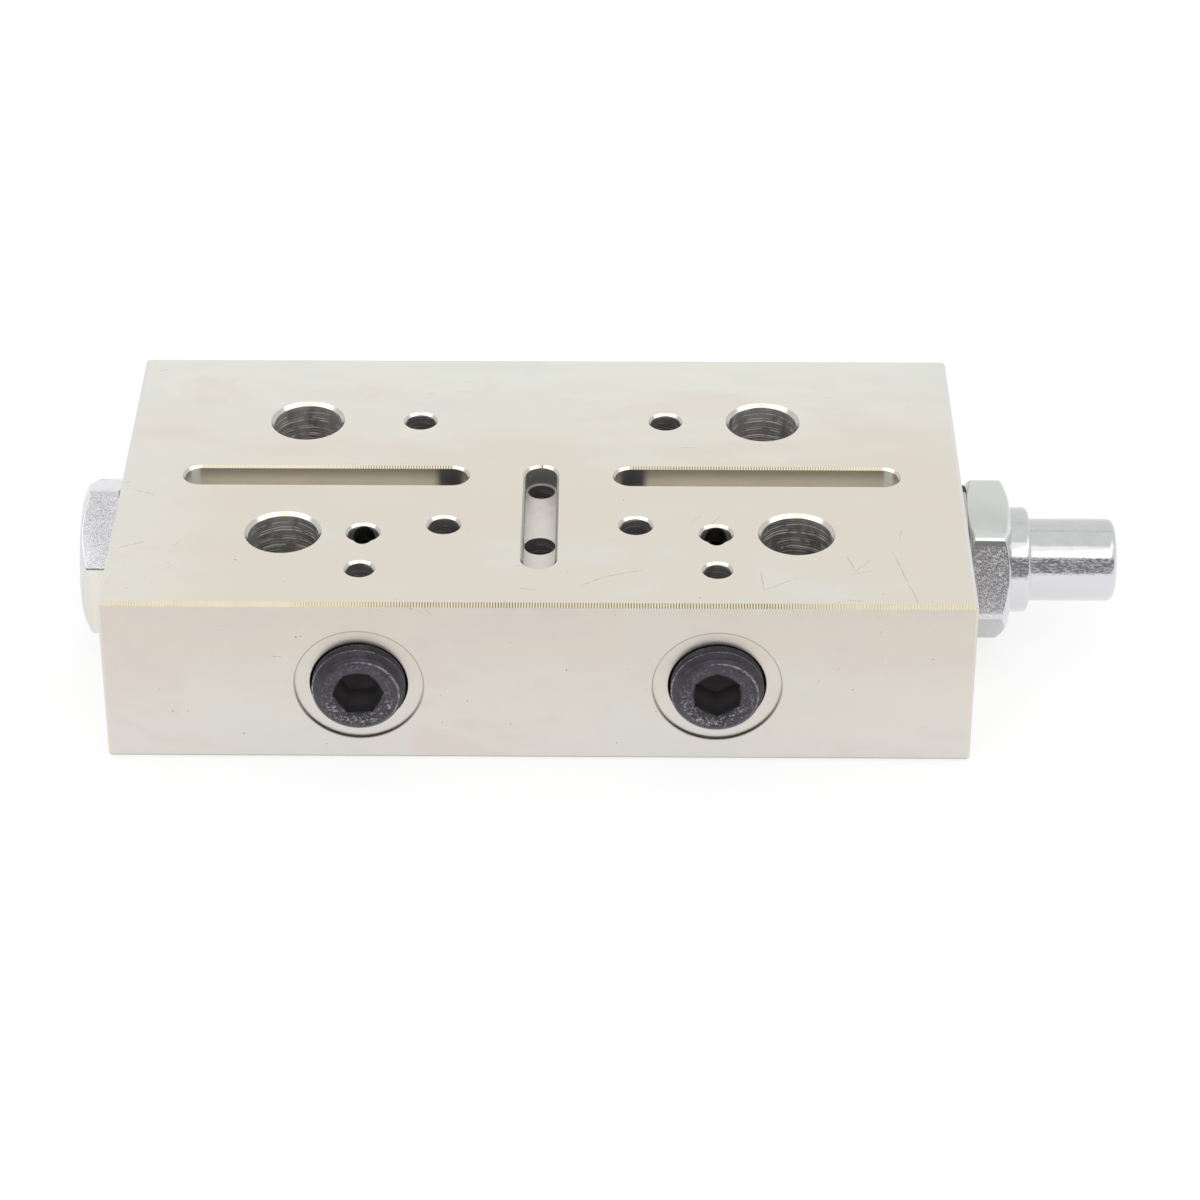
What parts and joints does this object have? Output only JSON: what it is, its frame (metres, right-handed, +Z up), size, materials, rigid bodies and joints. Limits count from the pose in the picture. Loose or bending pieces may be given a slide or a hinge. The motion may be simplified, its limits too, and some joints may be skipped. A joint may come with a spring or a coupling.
{
  "type": "progressive lubricant divider block",
  "caption": "Plated steel section of a stacked progressive lubricant divider, with oil slots and tie-rod holes, plugged outlets, hexagon end plugs and a piston indicator nose",
  "frame": {"origin": "middle of the block's underside, between its two end faces and between its outlet face and back face", "axes": "+X runs along the piston bore towards the indicator nose, +Y from the outlet face towards the back face, and +Z up from the underside to the slotted top face"},
  "size_m": [0.1521, 0.0704, 0.0265],
  "materials": {
    "plated_steel": "cream zinc plating with faint iridescence and fine scratches",
    "bright_zinc": "bright zinc plating, turned and grained",
    "black_oxide": "black oxide with worn edges",
    "ground_steel": "ground and lapped",
    "seal_rubber": "matt black"
  },
  "bodies": {
    "housing": {"valve_block": "plated_steel", "left_end_plug": "bright_zinc", "left_end_seal": "seal_rubber", "indicator_plug": "bright_zinc", "indicator_plug_seal": "seal_rubber", "left_outlet_plug": "black_oxide", "right_outlet_plug": "black_oxide"},
    "piston": {"metering_piston": "ground_steel", "indicator_rod": "ground_steel"}
  },
  "joints": [
    {"name": "piston_slide", "type": "slide", "parent": "housing", "child": "piston", "axis": [1, 0, 0], "range_m": [-0.00645, 0.00645]}
  ]
}
